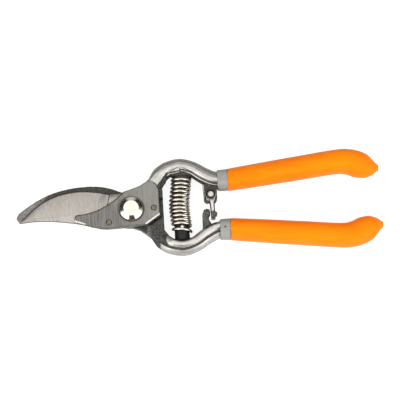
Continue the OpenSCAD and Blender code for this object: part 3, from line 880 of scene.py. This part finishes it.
def return_spring_piece():
    """A helix of round wire with the uneven turns of a worked spring, bowed as a compressed one is."""
    turns = len(TURN_RISES)
    low_y, high_y = SPRING_LOW.y + WIRE_RADIUS, SPRING_HIGH.y - WIRE_RADIUS
    risen = np.r_[0, np.cumsum(TURN_RISES)] / sum(TURN_RISES)
    share = np.linspace(0, 1, turns * TURN_STEPS + 1)
    turn = 2 * np.pi * turns * share
    height = np.interp(share * turns, np.arange(turns + 1), risen)
    # A running mean over two thirds of a turn eases one rise into the next.
    reach = TURN_STEPS // 3
    weights = np.ones(2 * reach + 1) / (2 * reach + 1)
    height = np.convolve(np.pad(height, reach, mode="reflect", reflect_type="odd"), weights, mode="valid")
    middle_x = PIN_X + (SPRING_X - PIN_X) * height
    x = middle_x - COIL_BOW * np.sin(np.pi * height) ** 2 + COIL_RADIUS * np.cos(turn)
    path = np.c_[x, low_y + (high_y - low_y) * height, MIDDLE_Z + COIL_RADIUS * np.sin(turn)]
    run = np.gradient(path, axis=0)
    run /= np.linalg.norm(run, axis=1)[:, None]
    angles = 2 * np.pi * np.arange(WIRE_SIDES) / WIRE_SIDES
    rings, inside = [], []
    for i in range(len(path)):
        outward = np.array([math.cos(turn[i]), 0, math.sin(turn[i])])
        other = np.cross(run[i], outward)
        ring = np.cos(angles)[:, None] * outward + np.sin(angles)[:, None] * other
        rings.append(path[i] + WIRE_RADIUS * ring)
        # Painted shade: the side of the wire facing the coil's middle, and the far half of each turn.
        behind = float(smoothstep(0.25, -0.3, np.sin(turn[i])))
        inside.append(np.maximum(0.5 - 0.5 * np.cos(angles), 0.8 * behind))
    points, faces = skin(rings)
    mesh = mesh_from("coil_spring", points, faces)
    paint(mesh, "inside", np.concatenate(inside))
    obj = add_piece("coil_spring", mesh, None, "spring_wire", ["return_spring"])
    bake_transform(obj)


def spring_pin_piece():
    """The pin that the spring slips over, on a stem in the lower bar, with a painted highlight near its top
    end.
    """
    low, high = box_mm("spring_pin")
    radius = (high.x - low.x) / 2
    body_end, round_start = low.y + STEM_LENGTH, high.y - PIN_ROUND
    profile = [(0, low.y), (STEM_RADIUS, low.y), (STEM_RADIUS, body_end), (radius, body_end)]
    # Rings along the body, so that the painted highlight can be placed.
    profile += [(radius, y) for y in np.arange(body_end + PIN_RINGS[0], round_start, PIN_RINGS[1])]
    profile += [(radius, round_start)]
    profile += arc((radius - PIN_ROUND, round_start), PIN_ROUND, 0, 90, 8) + [(0, high.y)]
    mesh = lathe("spring_stub", profile, (PIN_X, 0, MIDDLE_Z), axis="Y", segments=PIN_SEGMENTS)
    co = coordinates(mesh) / MM
    # Painted highlight: a bright spot on the upper side of the pin, near its top end.
    from_spot = np.hypot(co[:, 0] - PIN_X - HIGHLIGHT_AT[0], co[:, 1] - high.y - HIGHLIGHT_AT[1])
    paint(mesh, "painted_highlight", smoothstep(*HIGHLIGHT_REACH, from_spot) * (co[:, 2] > MIDDLE_Z))
    add_piece("spring_stub", mesh, HOOK_HALF, "black_oxide", ["spring_pin"])


# ---- catch --------------------------------------------------------------------------------

CATCH_VOXEL = 0.13
ROLL_AT, ROLL_REACH = (47.15, -5.1), 1.5  # the catch's thumb roll
FLAT_TOP_FACING, SIDE_TO_TOP = 0.98, (0.985, 0.88)
CATCH_RIM = 0.85      # width of the dark edge on the catch's flat
RING_RADIUS, RING_REACH = 2.9, (0.9, 0.3)
DOME_EDGE = (1.0, 2.0)
FOOT_TIP_RADIUS, FOOT_RADIUS, NECK_RADIUS = 1.8, 2.4, 1.5
FOOT_CHAMFER, FOOT_HEIGHT, DOME_SEAT = 0.6, 1.2, 1.8


def from_catch_rivet(co):
    """How far each place lies from the catch rivet's axis."""
    return np.hypot(co[:, 0] - CATCH_AT.x, co[:, 1] - CATCH_AT.y)


def catch_lever_piece():
    lever = remeshed(cad_shell("catch_lever"), CATCH_VOXEL)
    co, out = coordinates(lever) / MM, normals(lever)
    roll = np.hypot(co[:, 0] - ROLL_AT[0], co[:, 1] - ROLL_AT[1]) < ROLL_REACH
    flat = (out[:, 2] > FLAT_TOP_FACING) & (co[:, 2] > CATCH_AT.z)
    # Painted shade: the lever's sides and the border of its flat go dark, and so does a ring round the
    # rivet; the thumb roll is brown.
    rim = np.maximum(smoothstep(*SIDE_TO_TOP, out[:, 2]), rim_of(co, flat, CATCH_RIM))
    dark_ring_shade = smoothstep(*RING_REACH, np.abs(from_catch_rivet(co) - RING_RADIUS))
    paint(lever, "edge", np.where(roll, 0.6 * rim, rim))
    paint(lever, "stain_and_shade", np.where(roll, 0.96, 0.8 * dark_ring_shade))
    add_piece("catch_plate", lever, CATCH, "bright_nickel", ["catch_lever"], catch_plate())


def catch_rivet_pieces():
    """A domed rivet with a low foot on the far side, and the washer under its head."""
    low, high = box_mm("catch_rivet")
    radius = (high.x - low.x) / 2
    seat = high.z - DOME_SEAT
    profile = [(0, low.z), (FOOT_TIP_RADIUS, low.z), (FOOT_RADIUS, low.z + FOOT_CHAMFER)]
    profile += [(FOOT_RADIUS, low.z + FOOT_HEIGHT), (NECK_RADIUS, low.z + FOOT_HEIGHT), (NECK_RADIUS, seat)]
    profile += [(radius - 0.1, seat), (radius, seat + 0.12)]
    profile += [(radius * math.cos(a), seat + 0.3 + 1.5 * math.sin(a)) for a in np.linspace(0.05, 1.5, 12)]
    profile += [(0, high.z)]
    dome = lathe("catch_dome", profile, (CATCH_AT.x, CATCH_AT.y, 0))
    # Painted shade: the dome darkens away from its middle, leaving a small bright top.
    paint(dome, "edge", smoothstep(*DOME_EDGE, from_catch_rivet(coordinates(dome) / MM)))
    add_piece("catch_dome", dome, BLADE_HALF, "bright_nickel", ["catch_rivet"], catch_plate())
    add_piece("catch_spacer", bevelled("catch_washer", 0.05), BLADE_HALF, "bright_nickel", ["catch_washer"])


# ---- collars and grips --------------------------------------------------------------------

# Stations x, y from the line of symmetry, half width, half thickness.
COLLAR_LIP = [[49.6, 14.45, 5.0, 6.85], [49.66, 14.45, 5.28, 7.14], [49.85, 14.45, 5.47, 7.34]]
COLLAR_LINE = [[50.3, 14.43, 5.58, 7.46], [52.5, 14.35, 5.7, 7.65], [55.3, 14.45, 5.8, 7.9]]
COLLAR_BORE = [[55.3, 14.45, 4.9, 6.7], [52.5, 14.35, 4.9, 6.6], [49.6, 14.5, 4.7, 6.3]]
GRIP_LIP = [[55.4, 14.45, 5.6, 7.6], [55.46, 14.45, 5.86, 7.86], [55.66, 14.46, 6.05, 8.05]]
GRIP_LINE = [[56.2, 14.47, 6.15, 8.15], [60, 14.9, 6.25, 8.4], [75, 16.6, 6.5, 8.7], [97.5, 19.2, 6.7, 9],
             [118, 21.5, 6.85, 9], [125.5, 21.1, 7.2, 9], [131, 19.2, 7.4, 8.7], [135.3, 17.6, 6.5, 7.6],
             [138.6, 16.9, 4.6, 5.6], [140.8, 16.7, 2.8, 3.4]]
GRIP_NUB = [[141.6, 16.65, 2.1, 2.6], [142.1, 16.6, 1.85, 2.25], [142.28, 16.6, 1.7, 2.1],
            [142.36, 16.6, 1.4, 1.8]]
GRIP_BORE = [[55.4, 14.45, 4.9, 6.8], [75, 16.5, 4.75, 6.7], [90, 18.3, 4.7, 6.6], [120, 21.4, 4.5, 6.2],
             [126.5, 20.5, 4, 5.4]]
COLLAR_SQUARENESS, COLLAR_BORE_SQUARENESS, GRIP_SQUARENESS = 2.8, 4, 2.2


def collar_piece(name, node, side, body):
    """A dip band: a short tube with a rolled lip at its mouth."""
    outer = rounded_rings(np.concatenate([COLLAR_LIP, spline(COLLAR_LINE, 4)]), COLLAR_SQUARENESS)
    inner = rounded_rings(spline(COLLAR_BORE, 3), COLLAR_BORE_SQUARENESS)
    points, faces = skin(outer + inner, looped=True)
    mesh = mesh_from(name, sided(points, side), faces)
    add_piece(name, mesh, body, "grey_dip", [node])


def grip_piece(name, node, side, body):
    """A dipped sleeve with a rolled mouth, a blind bore and a small nub at its end."""
    line = np.concatenate([GRIP_LIP, spline(GRIP_LINE, 8), GRIP_NUB])
    outer = rounded_rings(line, GRIP_SQUARENESS)
    inner = rounded_rings(spline(GRIP_BORE, 4), GRIP_SQUARENESS)
    points, faces = skin(inner[::-1] + outer)
    mesh = mesh_from(name, sided(points, side), faces)
    add_piece(name, mesh, body, "orange_dip", [node])


# ---- stage --------------------------------------------------------------------------------

VIEW_CENTRE = Vector((39.2, 4.5, 9.0)) * MM
VIEW_WIDTH = 0.2286
VIEW_DISTANCE = 0.82
VIEW_TILT = math.radians(13)   # from straight above, towards -Y
VIEW_TURN = math.radians(3.3)  # of the tool in the picture
SENSOR_WIDTH = 36
FLOOR_HALF = 1.5
FLOOR_SEEN, FLOOR_GIVEN_BACK = 0.85, 0.48
LAMP_AIM = Vector((0.04, 0, 0))

# The light tent: where each part of it lies, the nearness to that direction at which it starts and is
# full, and its strength before and after.
OVERHEAD = ((0, -0.2, 1), 0.31, 0.54, 0.04, 1.25)
DARK_PATCH = ((0, -0.84, 0.54), 0.93, 0.975, 1.0, 0.05)
FRONT_CORNERS = [((x, -0.56, 0.30), 0.86, 0.90, 0.0, 2.0) for x in (-0.75, 0.75)]
FAR_SIDE = ((0, 1, 0.02), 0.88, 0.98, 0.0, 0.6)
TENT_COLOUR = (1.0, 0.99, 0.97, 1.0)


def add_camera():
    camera = bpy.data.objects.new("camera", bpy.data.cameras.new("camera"))
    bpy.context.scene.collection.objects.link(camera)
    camera.data.sensor_width = SENSOR_WIDTH
    camera.data.lens = SENSOR_WIDTH * VIEW_DISTANCE / VIEW_WIDTH
    camera.data.clip_start = 0.01
    turn = Matrix.Rotation(-VIEW_TURN, 3, "Z")
    back = turn @ Vector((0, -math.sin(VIEW_TILT), math.cos(VIEW_TILT)))
    up = turn @ Vector((0, math.cos(VIEW_TILT), math.sin(VIEW_TILT)))
    right = up.cross(back)
    axes = Matrix((right, up, back)).transposed().to_4x4()
    camera.matrix_world = Matrix.Translation(VIEW_CENTRE + back * VIEW_DISTANCE) @ axes
    bpy.context.scene.camera = camera


def add_floor():
    """A wide flat pale floor."""
    mesh = bpy.data.meshes.new("floor")
    corners = [(x * FLOOR_HALF, y * FLOOR_HALF, 0) for x, y in ((-1, -1), (1, -1), (1, 1), (-1, 1))]
    mesh.from_pydata(corners, [], [(0, 1, 2, 3)])
    floor = bpy.data.objects.new("floor", mesh)
    bpy.context.scene.collection.objects.link(floor)
    s = Shader("floor", roughness=0.9, Emission_Color=(1, 1, 1, 1))
    # White where it is seen; as a reflector it gives back less, like a floor lit only round the object.
    seen = s.node("ShaderNodeLightPath").outputs["Is Camera Ray"]
    s.put(s.blend_value(seen, FLOOR_GIVEN_BACK, FLOOR_SEEN), s.surface.inputs["Emission Strength"])
    sheet = s.noise(40, 2)
    mesh.materials.append(s.finish(s.mix(sheet, (0.28, 0.28, 0.28), (0.31, 0.31, 0.31))))


def add_area_light(name, place, size, power, mirrored):
    """A softbox; one that is not mirrored lights the dull surfaces and leaves no glint on the steel."""
    light = bpy.data.lights.new(name, "AREA")
    light.shape = "RECTANGLE"
    light.size, light.size_y = size
    light.energy = power
    lamp = bpy.data.objects.new(name, light)
    bpy.context.scene.collection.objects.link(lamp)
    lamp.location = place
    lamp.visible_glossy = mirrored
    lamp.rotation_euler = (LAMP_AIM - Vector(place)).to_track_quat("-Z", "Y").to_euler()


def add_world():
    """A light tent: bright overhead, but for a dark patch, and at two front corners; dim all round."""
    world = bpy.data.worlds.new("studio")
    bpy.context.scene.world = world
    world.use_nodes = True
    sky = Nodes(world.node_tree)
    background = sky.tree.nodes["Background"]
    background.inputs["Color"].default_value = TENT_COLOUR
    direction = sky.node("ShaderNodeTexCoord").outputs["Generated"]

    def glow_from(towards, *limits):
        return sky.spread(sky.along(direction, towards), *limits)

    glow = sky.math("MULTIPLY", glow_from(*OVERHEAD), glow_from(*DARK_PATCH))
    for part in [*FRONT_CORNERS, FAR_SIDE]:
        glow = sky.math("ADD", glow, glow_from(*part))
    # Plain white where it is seen past the floor.
    seen = sky.node("ShaderNodeLightPath").outputs["Is Camera Ray"]
    sky.put(sky.blend_value(seen, glow, 1.0), background.inputs["Strength"])


def add_stage():
    add_camera()
    add_floor()
    add_world()
    add_area_light("overhead_softbox", (0.04, -0.1, 1.6), (1.2, 1.2), power=1.5, mirrored=True)
    add_area_light("front_fill", (0.04, -1.2, 0.9), (1.0, 0.8), power=7, mirrored=False)
    bpy.context.scene.view_settings.view_transform = "Standard"


add_stage()
blade_handle_piece()
hook_handle_piece()
cutting_blade_piece()
rivet_piece("rivet_front", "front_rivet")
rivet_piece("rivet_rear", "rear_rivet")
pivot_bolt_piece()
pivot_nut_pieces()
return_spring_piece()
spring_pin_piece()
catch_lever_piece()
catch_rivet_pieces()
collar_piece("collar_upper", "upper_collar", 1, BLADE_HALF)
collar_piece("collar_lower", "lower_collar", -1, HOOK_HALF)
grip_piece("grip_upper", "upper_grip", 1, BLADE_HALF)
grip_piece("grip_lower", "lower_grip", -1, HOOK_HALF)
